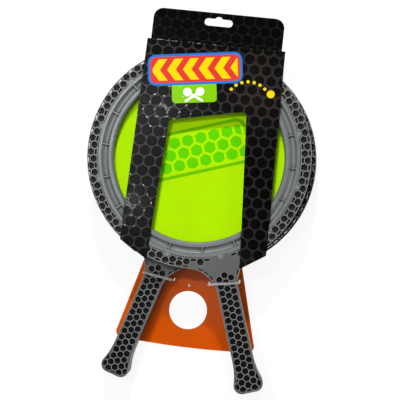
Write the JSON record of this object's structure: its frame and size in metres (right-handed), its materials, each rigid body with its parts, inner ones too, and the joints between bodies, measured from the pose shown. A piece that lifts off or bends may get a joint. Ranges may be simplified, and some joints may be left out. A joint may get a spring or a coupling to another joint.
{
  "type": "paddle catch set",
  "caption": "Round catch paddles with honeycomb frames and stretched lime faces, tied crosswise in a folded black hanging card with a windowed front panel and an orange insert.",
  "frame": {"origin": "on the middle line of the pack, level with the centres of the two paddle heads, on the back face of the pack", "axes": "+X right, +Y towards the hanging tab, +Z out of the front panel; the pack lies on its back"},
  "size_m": [0.247, 0.4151, 0.0467],
  "materials": {
    "card_black": "black printed card with a glossy varnish",
    "card_orange": "orange printed card with a glossy varnish",
    "tie_clear": "clear flexible plastic",
    "frame_grey": "moulded grey plastic, satin",
    "core_black": "moulded black plastic, matt",
    "hoop_grey": "moulded grey plastic, smooth satin",
    "stake_grey": "melted grey stake heads, glossy",
    "membrane_lime": "stretched lime membrane, smooth"
  },
  "bodies": {
    "pack": {"back_wrap": "card_black", "insert_card": "card_orange", "card_tack": "tie_clear", "front_tie": "tie_clear", "rear_tie": "tie_clear"},
    "panel": {"front_panel": "card_black"},
    "front_paddle": {"front_core": "core_black", "front_shell_face": "frame_grey", "front_shell_back": "frame_grey", "front_hoop_face": "hoop_grey", "front_hoop_back": "hoop_grey", "front_membrane": "membrane_lime", "front_stakes": "stake_grey"},
    "rear_paddle": {"rear_core": "core_black", "rear_shell_face": "frame_grey", "rear_shell_back": "frame_grey", "rear_hoop_face": "hoop_grey", "rear_hoop_back": "hoop_grey", "rear_membrane": "membrane_lime", "rear_stakes": "stake_grey"}
  },
  "joints": [
    {"name": "panel_fold", "type": "hinge", "parent": "pack", "child": "panel", "pos_m": [0, 0.1214, 0.04595], "axis": [-1, 0, 0], "range_deg": [0, 150]},
    {"name": "front_swing", "type": "hinge", "parent": "pack", "child": "front_paddle", "pos_m": [-0.005, 0, 0.0348], "axis": [0, 0, 1], "range_deg": [-2, 0.5]},
    {"name": "rear_swing", "type": "hinge", "parent": "pack", "child": "rear_paddle", "pos_m": [0.002, 0, 0.0125], "axis": [0, 0, 1], "range_deg": [-0.5, 2]}
  ]
}
